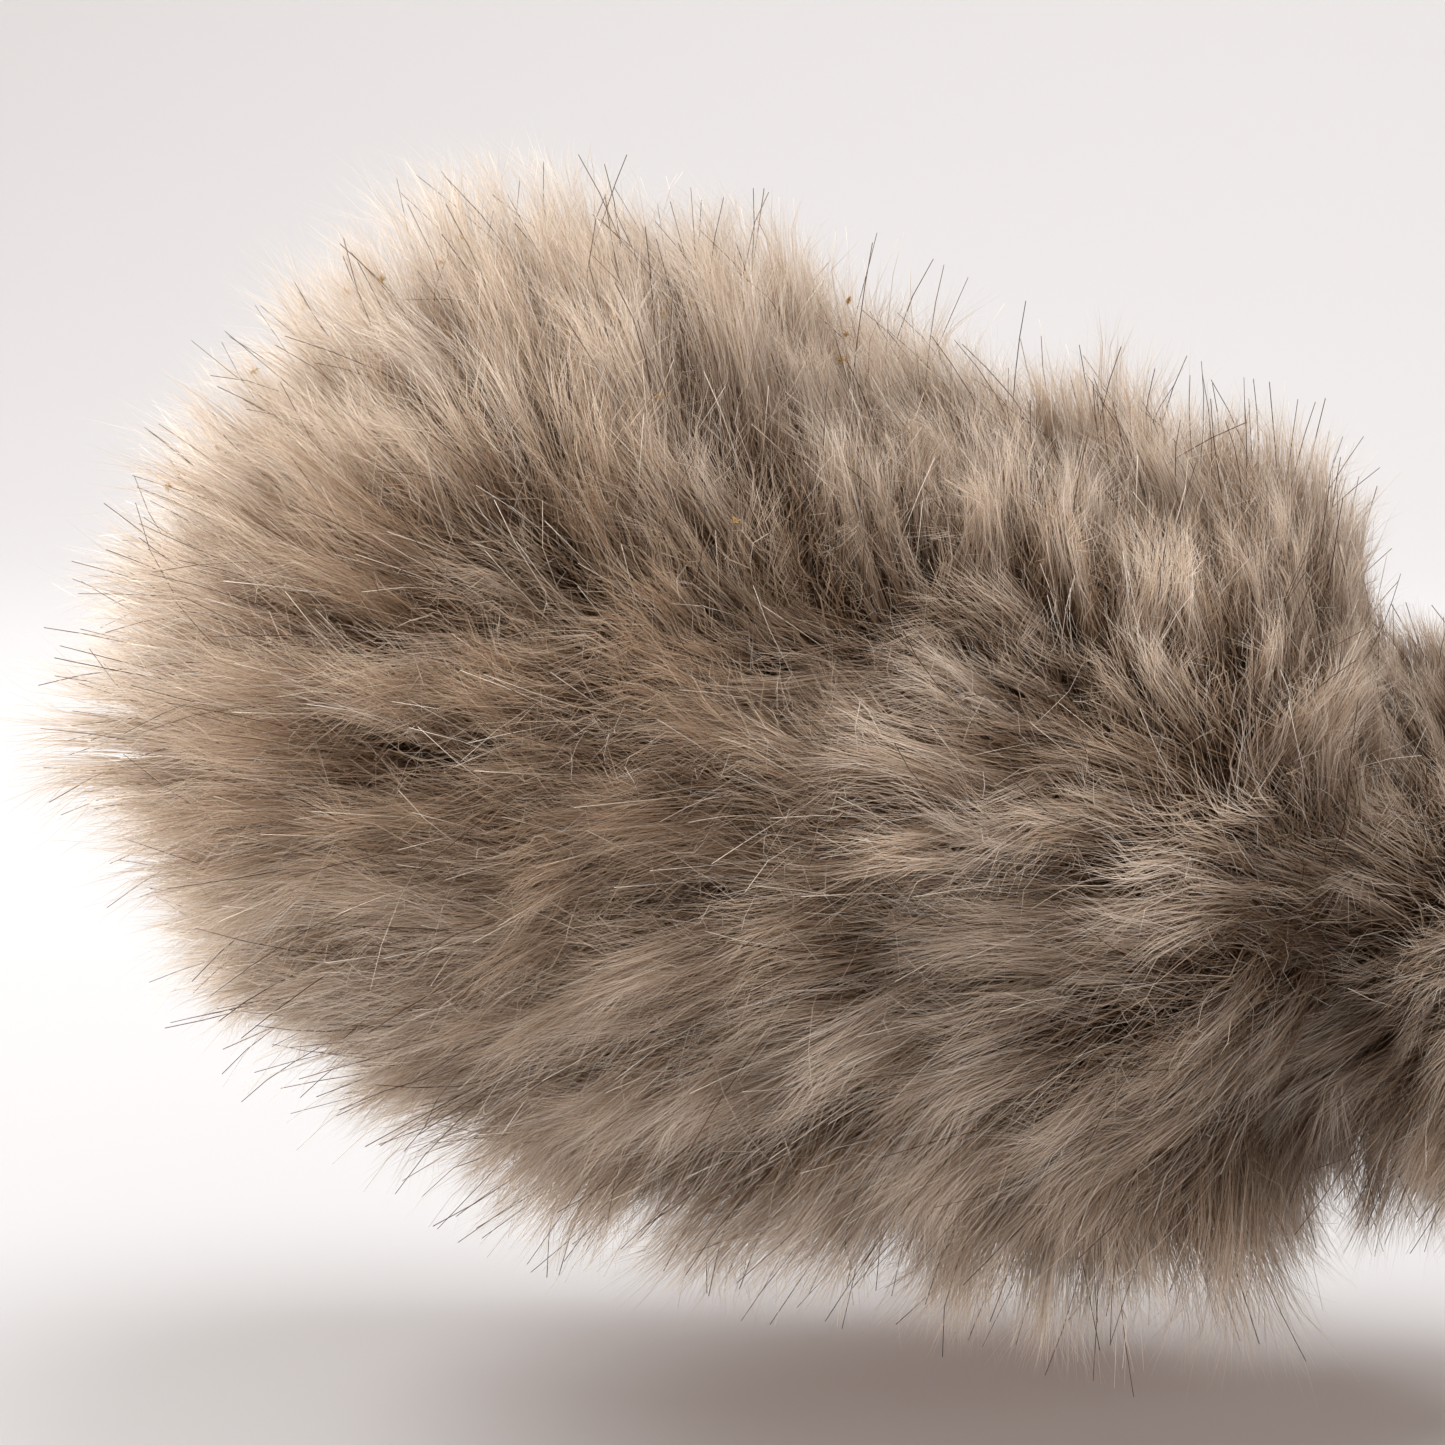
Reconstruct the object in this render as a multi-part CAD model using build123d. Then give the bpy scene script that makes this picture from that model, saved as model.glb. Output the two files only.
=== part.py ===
from build123d import *

import os
from math import atan, cos, pi, radians, sin, tan

# A furry windscreen for a hand-held or camera microphone, in millimetres.
#
# A long-pile fur cover is sewn from four gores and a nose patch over an egg-shaped lattice basket. The basket's two
# halves lock together with a bayonet ring. Behind them a collar holds a rubber grip for the microphone, and a clamp
# nut closes the collar's split end on it. An elastic in the cover's hem draws the fur in at the neck.
#
# The X axis is the microphone's axis, with the nose towards -X and the microphone leaving towards +X. Z is up. The
# origin is the middle of the grip's bore. Radii are measured from the X axis.

# Microphone and grip
mic_radius = 10.5  # of the barrel that the grip holds
grip_length = 38.0
grip_wall = 1.5
grip_groove_depth = 0.4
grip_groove_width = 2.4
grip_groove_count = 6
mic_clearance = 0.7  # round the barrel, in everything but the grip

# Basket
basket_radius = 36.0
basket_length = 113.0
basket_rear = -24.0  # the outer face of its end plate
shoulder_margin = 10.8  # from the flange's edge to where the cone would meet the end plate's plane
shoulder_fillet = 10.0
basket_wall = 2.0
rib_planes = 6  # each makes two ribs
rib_width = 3.0
hoop_width = 3.0
front_hoops = 3
rear_hoops = 2
nose_cap_depth = 3.0
joint_ratio = 0.5  # how far along the basket its halves meet, from the nose
boss_radius = 3.0
boss_length = 6.0

# Bayonet between the basket's halves
gasket_thickness = 1.0
ring_length = 5.0
ring_wall = 2.4
spigot_wall = 1.5
spigot_clearance = 0.3
lug_count = 3
lug_angle = 14.0
lug_length = 2.0
lug_height = 1.4
lug_play = 0.2
notch_play_angle = 3.0
twist_angle = 40.0  # from the notches to where the lugs lock

# Mesh lining
mesh_thickness = 0.5
mesh_gap = 0.1

# Collar and its screws
collar_gasket_thickness = 0.8
flange_thickness = 2.5
flange_margin = 2.6  # from the screws' circle to the flange's edge
collar_wall = 2.5
ridge_height = 1.4
ridge_width = 2.0
thread_land_height = 2.0
thread_land_length = 8.0
collet_length = 8.0
collet_drop = 1.4  # how much its cone narrows towards the rear
collet_slits = 6
slit_width = 1.2
screw_count = 3
screw_offset = 3.1  # from the collar's tube to the screws' axes
screw_radius = 1.25
screw_play = 0.15
screw_head_radius = 2.2
screw_head_height = 1.5
screw_length = 9.0
socket_width = 1.5
socket_depth = 0.8

# Clamp nut and thrust washer
nut_wall = 2.95  # outside its land
nut_rear_wall = 2.0
nut_overlap = 4.0  # of its land over the collar's
nut_knurls = 30
knurl_radius = 0.8
fit_clearance = 0.05  # of the nut's land on the collar's, and of the washer in the nut
cone_clearance = 0.35
nut_travel = 1.0
washer_thickness = 1.0
washer_gap = 1.4  # to the grip with the nut slack
washer_inset = 0.3

# Fur cover
cloth_gap = 0.3  # from the basket to the cover
tape_thickness = 0.24
tape_gap = 0.03
tape_width = 8.0
pile_height = 22.4  # of the standing fur, its backing included
nose_pile_height = 22.0
pile_shoulder_fillet = 22.0
waist_pile = 12.5
nose_patch_radius = 24.0
gore_count = 4
channel_width = 6.0
channel_gap = 0.3  # from the collar to the hem channel
channel_cloth = 0.3
elastic_thickness = 1.3
frill_length = 16.5
frill_flare = 4.5  # of its cloth
frill_pile = 14.0
frill_overhang = 4.0  # of the pile past the cloth
backing_thickness = 1.2
binding_width = 2.0
binding_thickness = 1.0

# Places that follow from those sizes
grip_front = -grip_length / 2
grip_rear = grip_length / 2
grip_radius = mic_radius + grip_wall
collar_radius = grip_radius + collar_wall
screw_circle_radius = collar_radius + screw_offset
flange_radius = screw_circle_radius + flange_margin
passage_radius = mic_radius + mic_clearance
flange_front = basket_rear + collar_gasket_thickness
flange_rear = flange_front + flange_thickness
basket_nose = basket_rear - basket_length
dome_centre = basket_nose + basket_radius
basket_shoulder_radius = flange_radius + shoulder_margin
cone_angle = atan((basket_radius - basket_shoulder_radius) / (basket_rear - dome_centre))
joint_x = basket_nose + joint_ratio * basket_length
front_end = joint_x - gasket_thickness / 2
rear_start = joint_x + gasket_thickness / 2
front_ring_start = front_end - ring_length
rear_ring_end = rear_start + ring_length
collet_start = grip_rear - collet_length
land_start = collet_start - thread_land_length
land_radius = collar_radius + thread_land_height - fit_clearance
nut_radius = land_radius + nut_wall
collet_rear_radius = land_radius - collet_drop
washer_front = grip_rear + washer_gap
washer_rear = washer_front + washer_thickness
nut_front = collet_start - nut_overlap
nut_rear = washer_rear + fit_clearance + nut_rear_wall
washer_radius = collet_rear_radius - washer_inset
BIG = 4 * (basket_radius + basket_length)


def slab(start, end, size=BIG):
    """A block that fills all the space between two planes across the axis."""
    return Pos((start + end) / 2, 0, 0) * Box(end - start, size, size)


def ring(start, end, outer, inner=0.0):
    """A tube, or a disc, between two planes across the axis."""
    solid = Cylinder(outer, end - start, rotation=(0, 90, 0))
    if inner > 0:
        solid -= Cylinder(inner, end - start, rotation=(0, 90, 0))
    return Pos((start + end) / 2, 0, 0) * solid


def turned(points):
    """The solid that an outline of (x, radius) points sweeps round the axis."""
    return revolve(make_face(Polyline(*points, close=True)), Axis.X)


def spoke(angle, start, end, inner, outer, width):
    """A block that runs outwards from the axis at an angle from +Z, from one radius to another."""
    block = Box(end - start, width, outer - inner)
    return Rot(X=angle) * Pos((start + end) / 2, 0, (inner + outer) / 2) * block


def around(count, first=0.0):
    """Equal steps round the axis, in degrees."""
    return [first + 360.0 * i / count for i in range(count)]


def cone_radius(x, offset):
    """The radius of the basket's cone at x, moved outwards by an offset."""
    touch_x = dome_centre + (basket_radius + offset) * sin(cone_angle)
    touch_radius = (basket_radius + offset) * cos(cone_angle)
    return touch_radius - (x - touch_x) * tan(cone_angle)


def dome_edges(offset, centre=dome_centre):
    """The dome's arc from the axis to where the cone touches it, and its last point."""
    radius = basket_radius + offset
    middle = (pi / 2 + cone_angle) / 2 - cone_angle
    nose = (centre - radius, 0)
    halfway = (centre - radius * sin(middle), radius * cos(middle))
    touch = (centre + radius * sin(cone_angle), radius * cos(cone_angle))
    return ThreePointArc(nose, halfway, touch), nose, touch


def basket_body(offset):
    """The basket's outer form, solid, moved outwards by an offset."""
    arc, nose, touch = dome_edges(offset)
    rear = basket_rear + offset
    corner = (rear, cone_radius(rear, offset))
    face = make_face([arc, *Polyline(touch, corner, (rear, 0), nose).edges()])
    shoulder = face.vertices().sort_by_distance(corner)[0]
    return revolve(fillet(shoulder, shoulder_fillet + offset), Axis.X)


def basket_shell(outer_offset, inner_offset, start, end):
    """A stretch of the shell between two offsets of the basket's form."""
    return (basket_body(outer_offset) - basket_body(inner_offset)) & slab(start, end)


def cage(start, end, hoops):
    """The ribs and hoops that the basket keeps between two planes, each plane with a hoop inside it."""
    blocks = [Rot(X=a / 2) * Box(BIG, rib_width, BIG) for a in around(rib_planes)]
    pitch = (end - start - hoop_width) / (hoops + 1)
    for i in range(hoops + 2):
        blocks.append(slab(start + i * pitch, start + i * pitch + hoop_width))
    return blocks


def fused(solids):
    """One solid from several that overlap."""
    total = solids[0]
    for solid in solids[1:]:
        total += solid
    return total


def screw_places():
    return [Rot(X=a) * Pos(0, 0, screw_circle_radius) for a in around(screw_count, 60)]


def across(start, end, radius):
    """A small cylinder along X between two planes, before it is placed."""
    return Pos((start + end) / 2, 0, 0) * Cylinder(radius, end - start, rotation=(0, 90, 0))


# Basket ---------------------------------------------------------------------------------------------------------


def front_basket():
    """The nose half of the basket: a lattice dome with a solid cap at its pole."""
    shell = basket_shell(0, -basket_wall, basket_nose - 1, front_end)
    first_hoop = basket_nose + basket_wall + nose_cap_depth
    blocks = cage(first_hoop, front_end, front_hoops)
    blocks.append(slab(basket_nose - 1, basket_nose + nose_cap_depth))
    return shell & fused(blocks)


def rear_basket():
    """The rear half: a lattice cone, a rounded shoulder and an end plate with screw bosses."""
    plate_start = basket_rear - basket_wall
    solid_start = basket_rear - shoulder_fillet
    shell = basket_shell(0, -basket_wall, rear_start, basket_rear)
    blocks = cage(rear_start, solid_start, rear_hoops)
    blocks.append(ring(solid_start - 1, basket_rear, basket_shoulder_radius - 2))
    half = shell & fused(blocks)
    for place in screw_places():
        half += place * across(plate_start - boss_length, plate_start, boss_radius)
    half -= ring(plate_start - 1, basket_rear + 1, passage_radius)
    for place in screw_places():
        half -= place * across(flange_rear - screw_length, basket_rear + 1, screw_radius)
    return half


def front_ring():
    """The bayonet's front ring, with a spigot and lugs that reach through the rear ring."""
    bore = cone_radius(rear_ring_end, -basket_wall - ring_wall)
    spigot_outer = bore - spigot_clearance
    spigot_inner = spigot_outer - spigot_wall
    lug_start = rear_ring_end + lug_play
    body = basket_body(-basket_wall) & slab(front_ring_start, front_end)
    body -= ring(front_ring_start - 1, front_end + 1, spigot_inner)
    body += ring(front_end, lug_start + lug_length, spigot_outer, spigot_inner)
    width = 2 * spigot_outer * tan(radians(lug_angle / 2))
    for angle in around(lug_count):
        lug = spoke(angle, lug_start, lug_start + lug_length, spigot_inner, bore + lug_height, width)
        body += lug - ring(lug_start, lug_start + lug_length, spigot_inner)
    return body


def rear_ring():
    """The bayonet's rear ring, with notches that let the lugs through before the twist."""
    bore = cone_radius(rear_ring_end, -basket_wall - ring_wall)
    body = basket_body(-basket_wall) & slab(rear_start, rear_ring_end)
    body -= ring(rear_start, rear_ring_end, bore)
    width = 2 * bore * tan(radians(lug_angle / 2 + notch_play_angle))
    for angle in around(lug_count, twist_angle):
        body -= spoke(angle, rear_start, rear_ring_end, 0, bore + lug_height + lug_play, width)
    return body


def ring_gasket():
    """The flat gasket between the halves."""
    bore = cone_radius(rear_ring_end, -basket_wall - ring_wall)
    return (basket_body(0) & slab(front_end, rear_start)) - ring(front_end, rear_start, bore)


def front_mesh():
    outer = -basket_wall - mesh_gap
    return basket_shell(outer, outer - mesh_thickness, basket_nose, front_ring_start - mesh_gap)


def rear_mesh():
    outer = -basket_wall - mesh_gap
    start = rear_ring_end + lug_play + lug_length + mesh_gap
    return basket_shell(outer, outer - mesh_thickness, start, basket_rear - shoulder_fillet)


# Collar, grip and clamp -----------------------------------------------------------------------------------------


def collar():
    """The flanged tube behind the basket: hem ridge, thread land and a split collet at its end."""
    ridge_start = hem_rear() + channel_gap
    outline = [
        (flange_front, passage_radius),
        (flange_front, flange_radius),
        (flange_rear, flange_radius),
        (flange_rear, collar_radius),
        (ridge_start, collar_radius),
        (ridge_start, collar_radius + ridge_height),
        (ridge_start + ridge_width, collar_radius + ridge_height),
        (ridge_start + ridge_width, collar_radius),
        (land_start, collar_radius),
        (land_start, land_radius),
        (collet_start, land_radius),
        (grip_rear, collet_rear_radius),
        (grip_rear, grip_radius),
        (grip_front, grip_radius),
        (grip_front, passage_radius),
    ]
    body = turned(outline)
    for angle in around(collet_slits):
        body -= spoke(angle, collet_start, grip_rear + 1, grip_radius - 1, flange_radius, slit_width)
    for place in screw_places():
        body -= place * across(flange_front - 1, flange_rear + 1, screw_radius + screw_play)
    return body


def collar_gasket():
    body = ring(basket_rear, flange_front, flange_radius, passage_radius)
    for place in screw_places():
        body -= place * across(basket_rear, flange_front, screw_radius + screw_play)
    return body


def collar_screws():
    """Socket-headed screws, one solid each, that hold the collar to the basket's bosses."""
    head_end = flange_rear + screw_head_height
    screws = []
    for place in screw_places():
        screw = across(flange_rear - screw_length, flange_rear, screw_radius)
        screw += across(flange_rear, head_end, screw_head_radius)
        hexagon = extrude(Plane.YZ * RegularPolygon(socket_width / 2, 6), socket_depth)
        screws.append(place * (screw - Pos(head_end - socket_depth, 0, 0) * hexagon))
    return Compound(children=screws)


def mic_grip():
    """The rubber sleeve round the microphone, grooved outside so that it can bulge."""
    body = ring(grip_front, grip_rear, grip_radius, mic_radius)
    pitch = grip_length / (grip_groove_count + 1)
    for i in range(grip_groove_count):
        middle = grip_front + (i + 1) * pitch
        start, end = middle - grip_groove_width / 2, middle + grip_groove_width / 2
        body -= ring(start, end, grip_radius + 1, grip_radius - grip_groove_depth)
    return body


def thrust_washer():
    """The washer that the nut pushes forward without turning it."""
    return ring(washer_front, washer_rear, washer_radius, passage_radius)


def clamp_nut():
    """The knurled nut. Its cone closes the collet as it goes forward on the collar's land."""
    pocket = washer_radius + fit_clearance
    # Its step stays behind the collar's end when the nut is fully forward.
    pocket_front = (grip_rear + nut_travel + washer_front) / 2
    land = land_radius + fit_clearance
    outline = [
        (nut_front, land),
        (nut_front, nut_radius - 1),
        (nut_front + 1, nut_radius),
        (nut_rear - 1, nut_radius),
        (nut_rear, nut_radius - 1),
        (nut_rear, passage_radius),
        (nut_rear - nut_rear_wall, passage_radius),
        (nut_rear - nut_rear_wall, pocket),
        (pocket_front, pocket),
        (pocket_front, collet_rear_radius + cone_clearance),
        (grip_rear, collet_rear_radius + cone_clearance),
        (collet_start + nut_travel, land_radius + cone_clearance - nut_travel * cone_slope()),
        (collet_start + nut_travel, land),
    ]
    body = turned(outline)
    for angle in around(nut_knurls):
        groove = across(nut_front + 2, nut_rear - 2, knurl_radius)
        body -= Rot(X=angle) * Pos(0, 0, nut_radius + knurl_radius / 3) * groove
    return body


def cone_slope():
    """How much the collet narrows for each millimetre towards the rear."""
    return collet_drop / collet_length


# Fur cover ------------------------------------------------------------------------------------------------------


def drape():
    """Where the cloth leaves the basket's shoulder at 45 degrees, and where it meets the neck."""
    bend = shoulder_fillet + cloth_gap
    centre_x = basket_rear - shoulder_fillet
    corner_radius = cone_radius(basket_rear, 0)
    # The fillet's centre lies on the cone moved inwards by the fillet's radius.
    centre_radius = cone_radius(centre_x, -shoulder_fillet)
    leave = (centre_x + bend * sin(pi / 4), centre_radius + bend * cos(pi / 4))
    neck = hem_radius()
    assert leave[1] < corner_radius + cloth_gap, "the drape leaves from the shoulder's fillet"
    return leave, (leave[0] + leave[1] - neck, neck)


def hem_radius():
    """The outside of the hem channel."""
    return collar_radius + channel_gap + 2 * channel_cloth + elastic_thickness


def hem_front():
    return drape()[1][0]


def hem_rear():
    return hem_front() + channel_width


def inside_of_cover():
    """All that the cover wraps, from the nose to the front of the hem."""
    leave, meet = drape()
    form = basket_body(cloth_gap) & slab(basket_nose - 2, leave[0])
    tail = turned([(leave[0], 0), leave, meet, (meet[0], 0)])
    return form + tail


def outside_of_cover():
    """The mean surface that the tips of the fur make, from the nose to the waist."""
    offset = pile_height + cloth_gap
    centre = dome_centre + pile_height - nose_pile_height
    arc, nose, touch = dome_edges(offset, centre)
    waist = (hem_front(), hem_radius() + waist_pile)
    shoulder_x = hem_front() - pile_shoulder_fillet / 2
    shoulder = (shoulder_x, cone_radius(shoulder_x, offset))
    outline = Polyline(touch, shoulder, waist, (waist[0], 0), nose)
    face = make_face([arc, *outline.edges()])
    corner = face.vertices().sort_by_distance(shoulder)[0]
    return revolve(fillet(corner, pile_shoulder_fillet), Axis.X)


def nose_patch_cutter():
    return ring(basket_nose - 2 * pile_height, dome_centre, nose_patch_radius)


def nose_patch(fur):
    """The round patch of fur that closes the nose."""
    return fur & nose_patch_cutter()


def gore(fur, index):
    """One of the panels of fur between two lengthwise seams, which lie at the sides, the top and the bottom."""
    quarter = Pos(0, BIG / 2, BIG / 2) * Box(2 * BIG, BIG, BIG)
    return (fur - nose_patch_cutter()) & (Rot(X=360.0 / gore_count * index) * quarter)


def seam_tapes():
    """Tapes that cover the seams inside the cover, one solid each."""
    shell = basket_shell(
        tape_gap + tape_thickness, tape_gap, basket_nose - 2, basket_rear - shoulder_fillet
    )
    shell &= ring(basket_nose - 2, basket_rear, 2 * basket_radius, nose_patch_radius)
    strips = [
        shell & spoke(angle, basket_nose - 2, basket_rear, 0, 2 * basket_radius, tape_width)
        for angle in around(gore_count)
    ]
    return Compound(children=strips)


def hem_elastic():
    inner = collar_radius + channel_gap + channel_cloth
    start, end = hem_front() + channel_cloth, hem_rear() - channel_cloth
    return ring(start, end, inner + elastic_thickness, inner)


def hem_channel():
    """The folded cloth tube that holds the elastic."""
    body = ring(hem_front(), hem_rear(), hem_radius(), collar_radius + channel_gap)
    return body - hem_elastic()


def neck_frill():
    """The fur behind the elastic, which flares round the clamp."""
    cloth_end = hem_rear() + frill_length
    cloth_end_radius = hem_radius() + frill_flare
    tip = cloth_end + frill_overhang
    waist_radius = hem_radius() + waist_pile
    outline = [
        (hem_front(), hem_radius()),
        (hem_front(), waist_radius),
        (hem_rear() - channel_width / 2, waist_radius),
        (cloth_end - frill_length / 3, cloth_end_radius + frill_pile),
        (tip, cloth_end_radius + frill_pile * 0.75),
        (tip, cloth_end_radius + backing_thickness + 1),
        (cloth_end, cloth_end_radius + backing_thickness + 1),
        (cloth_end, cloth_end_radius),
        (hem_rear(), hem_radius()),
    ]
    return turned(outline)


def hem_binding():
    """The folded tape that binds the frill's raw edge."""
    edge = hem_rear() + frill_length
    inner = hem_radius() + frill_flare
    return ring(edge, edge + binding_width, inner + binding_thickness, inner)


def parts():
    """Every node by name."""
    fur = outside_of_cover() - inside_of_cover()
    made = {
        "front_basket": front_basket(),
        "rear_basket": rear_basket(),
        "front_ring": front_ring(),
        "rear_ring": rear_ring(),
        "ring_gasket": ring_gasket(),
        "front_mesh": front_mesh(),
        "rear_mesh": rear_mesh(),
        "collar": collar(),
        "collar_gasket": collar_gasket(),
        "collar_screws": collar_screws(),
        "mic_grip": mic_grip(),
        "thrust_washer": thrust_washer(),
        "clamp_nut": clamp_nut(),
        "nose_patch": nose_patch(fur),
        "seam_tapes": seam_tapes(),
        "hem_channel": hem_channel(),
        "hem_elastic": hem_elastic(),
        "neck_frill": neck_frill(),
        "hem_binding": hem_binding(),
    }
    names = ("gore_top_left", "gore_bottom_left", "gore_bottom_right", "gore_top_right")
    for index, name in enumerate(names):
        made[name] = gore(fur, -index)
    return made


os.makedirs("parts", exist_ok=True)
for node, solid in parts().items():
    export_step(solid, f"parts/{node}.step")
    print(f"{node}: {solid.volume:.1f} mm3")
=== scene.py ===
# %% [markdown]
# # A furry microphone windscreen
# The object is a fur cover drawn over an egg-shaped basket, with a clamp for the microphone at
# its neck. Almost all that shows is fur, so this lesson is mostly about growing a coat as real
# mesh: the cloth backing first, then locks of pile, curly underfur, and the dark guard hairs that
# stand out of it. The hard parts at the neck are the CAD nodes, and get their finishes at the
# end.

# %% Load the fixed frame
import math

import bpy
import numpy as np
from mathutils import Matrix, Vector


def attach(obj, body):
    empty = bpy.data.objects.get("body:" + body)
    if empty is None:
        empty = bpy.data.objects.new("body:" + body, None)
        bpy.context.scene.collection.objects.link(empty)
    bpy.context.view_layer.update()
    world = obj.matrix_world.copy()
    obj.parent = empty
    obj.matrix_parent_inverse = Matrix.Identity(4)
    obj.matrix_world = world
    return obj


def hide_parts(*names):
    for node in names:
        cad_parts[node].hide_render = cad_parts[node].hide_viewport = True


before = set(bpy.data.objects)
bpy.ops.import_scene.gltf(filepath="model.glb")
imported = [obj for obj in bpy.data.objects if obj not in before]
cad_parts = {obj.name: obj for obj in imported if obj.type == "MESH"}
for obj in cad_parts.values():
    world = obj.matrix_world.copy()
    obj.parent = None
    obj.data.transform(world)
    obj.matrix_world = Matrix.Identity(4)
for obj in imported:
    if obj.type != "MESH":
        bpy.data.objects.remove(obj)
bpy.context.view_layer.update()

MM = 0.001

# %% [markdown]
# ## The camera
# It looks level at the side of the cover from a long way off, as for a close-up of a small thing,
# a little from above and a little from behind the neck. It is rolled, so the nose is the higher
# end. A camera is placed from the point it looks at: the distance and the lens together set how
# wide a strip of the object fills the frame.

# %% Camera
LOOK_AT = Vector((-0.0855, 0.0, 0.003))
AZIMUTH, ELEVATION, SLOPE = math.radians(4.0), math.radians(10.0), math.radians(10.3)
DISTANCE, FRAME_WIDTH, SENSOR_MM = 0.62, 0.1598, 36.0

towards = Vector((math.sin(AZIMUTH) * math.cos(ELEVATION),
                  -math.cos(AZIMUTH) * math.cos(ELEVATION), math.sin(ELEVATION)))
camera_data = bpy.data.cameras.new("camera")
camera_data.sensor_width = SENSOR_MM
camera_data.lens = SENSOR_MM * DISTANCE / FRAME_WIDTH
camera = bpy.data.objects.new("camera", camera_data)
bpy.context.scene.collection.objects.link(camera)
upright = towards.to_track_quat("Z", "Y").to_matrix()
camera.matrix_world = (Matrix.Translation(LOOK_AT + towards * DISTANCE)
                       @ (upright @ Matrix.Rotation(SLOPE, 3, "Z")).to_4x4())
bpy.context.scene.camera = camera
print("lens:", round(camera_data.lens, 1), "mm")

# %% [markdown]
# ## Floor and light
# The cover lies on a sheet of pale paper that sweeps up behind it. A broad key lamp stands high
# on its left and a wide one hangs over it, so its rim is pale, its near side is darker, and its
# shadow falls to the right. The sweep is a strip whose profile runs flat, bends, and rises, which
# gives a background with no edge.

# %% Paper sweep
NEAR_EDGE, BEND_START, PAPER_WIDTH = -2.0, 0.7, 6.0
BEND_STEPS, BEND_STEP, RISE = 12, 0.08, 3.0
FLOOR = -0.0575


def deselect_all():
    if bpy.context.object and bpy.context.object.mode != "OBJECT":
        bpy.ops.object.mode_set(mode="OBJECT")
    bpy.ops.object.select_all(action="DESELECT")


deselect_all()
bpy.ops.mesh.primitive_plane_add(size=PAPER_WIDTH, location=(0, 0, 0))
paper = bpy.context.object
paper.name = "paper"
bpy.ops.object.mode_set(mode="EDIT")
bpy.ops.mesh.select_all(action="DESELECT")
bpy.ops.object.mode_set(mode="OBJECT")
for corner in paper.data.vertices:
    corner.co.y = BEND_START if corner.co.y > 0 else NEAR_EDGE
for edge in paper.data.edges:
    edge.select = all(paper.data.vertices[v].co.y > 0 for v in edge.vertices)
bpy.ops.object.mode_set(mode="EDIT")
for step in range(BEND_STEPS):
    lift = math.radians(90 * (step + 0.5) / BEND_STEPS)
    bpy.ops.mesh.extrude_edges_move(TRANSFORM_OT_translate={
        "value": (0, BEND_STEP * math.cos(lift), BEND_STEP * math.sin(lift))})
bpy.ops.mesh.extrude_edges_move(TRANSFORM_OT_translate={"value": (0, 0, RISE)})
bpy.ops.object.mode_set(mode="OBJECT")
bpy.ops.object.shade_smooth()
paper.matrix_world = Matrix.Rotation(-SLOPE, 4, "Y") @ Matrix.Translation((0, 0, FLOOR))
print("paper faces:", len(paper.data.polygons))

# %% [markdown]
# Each lamp is a disk: where it stands, what it points at, how wide it is, and its watts. The key
# lamp makes the shadow, and the others only fill it. The world's light is warm and weak, like the
# light that comes back from a room, so it shows most where the lamps don't reach.

# %% Lamps
def lamp(name, place, aim, size, power):
    light = bpy.data.lights.new(name, "AREA")
    light.shape, light.size, light.energy = "DISK", size, power
    holder = bpy.data.objects.new(name, light)
    bpy.context.scene.collection.objects.link(holder)
    direction = Vector(aim) - Vector(place)
    holder.matrix_world = (Matrix.Translation(place)
                           @ direction.to_track_quat("-Z", "Y").to_matrix().to_4x4())


lamp("key", (-0.86, 0.16, 0.64), (-0.06, 0.0, 0), 0.65, 14.6)
lamp("low_left", (-0.36, -0.18, -0.05), (-0.08, 0, -0.03), 0.14, 1.45)
lamp("front_right", (0.62, -0.40, 0.46), (-0.01, 0, 0.02), 0.6, 2.9)
lamp("top", (0.06, 0.12, 0.92), (-0.02, 0, 0.02), 0.8, 12.0)
lamp("background", (0.0, 0.45, 1.3), (0.0, 1.8, 0.6), 1.0, 13.0)
world = bpy.data.worlds.new("studio")
bpy.context.scene.world = world
world.use_nodes = True
room = world.node_tree.nodes["Background"]
room.inputs["Color"].default_value = (1.0, 0.86, 0.78, 1)
room.inputs["Strength"].default_value = 0.28
bpy.context.scene.view_settings.view_transform = "Standard"
print("lamps:", [light.name for light in bpy.data.lights])

# %% [markdown]
# ## Shader maths as Python
# A material is a graph of nodes. Wrapping each output in a small class lets sums be written as
# sums: `mask * 0.5` adds a Math node. Every other node comes from one method, which sets the
# node's options and then its inputs.

# %% Shader helper
class Wire:
    def __init__(self, finish, socket):
        self.finish, self.socket = finish, socket

    def __add__(self, other):
        return self.finish.maths_of("ADD", self, other)

    def __mul__(self, other):
        return self.finish.maths_of("MULTIPLY", self, other)

    def output(self, name):
        """Another output of the same node."""
        return Wire(self.finish, self.socket.node.outputs[name])


class Finish:
    def __init__(self, name):
        self.material = bpy.data.materials.new(name)
        self.material.use_nodes = True
        self.tree = self.material.node_tree
        self.tree.nodes.clear()
        self.output = self.tree.nodes.new("ShaderNodeOutputMaterial")

    def add(self, kind, options=None, inputs=None, out=0):
        node = self.tree.nodes.new(kind)
        for name, value in (options or {}).items():
            if name == "stops":
                while len(node.color_ramp.elements) < len(value):
                    node.color_ramp.elements.new(0.5)
                for element, (place, colour) in zip(node.color_ramp.elements, value):
                    element.position, element.color = place, (*colour, 1)
            else:
                setattr(node, name, value)
        for name, value in (inputs or {}).items():
            if isinstance(value, Wire):
                self.tree.links.new(value.socket, node.inputs[name])
            else:
                node.inputs[name].default_value = value
        return Wire(self, node.outputs[out])

    def maths_of(self, operation, first, second):
        return self.add("ShaderNodeMath", {"operation": operation}, {0: first, 1: second})

    def surface(self, wire):
        self.tree.links.new(wire.socket, self.output.inputs["Surface"])
        return self.material


print("shader helper ready")
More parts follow.
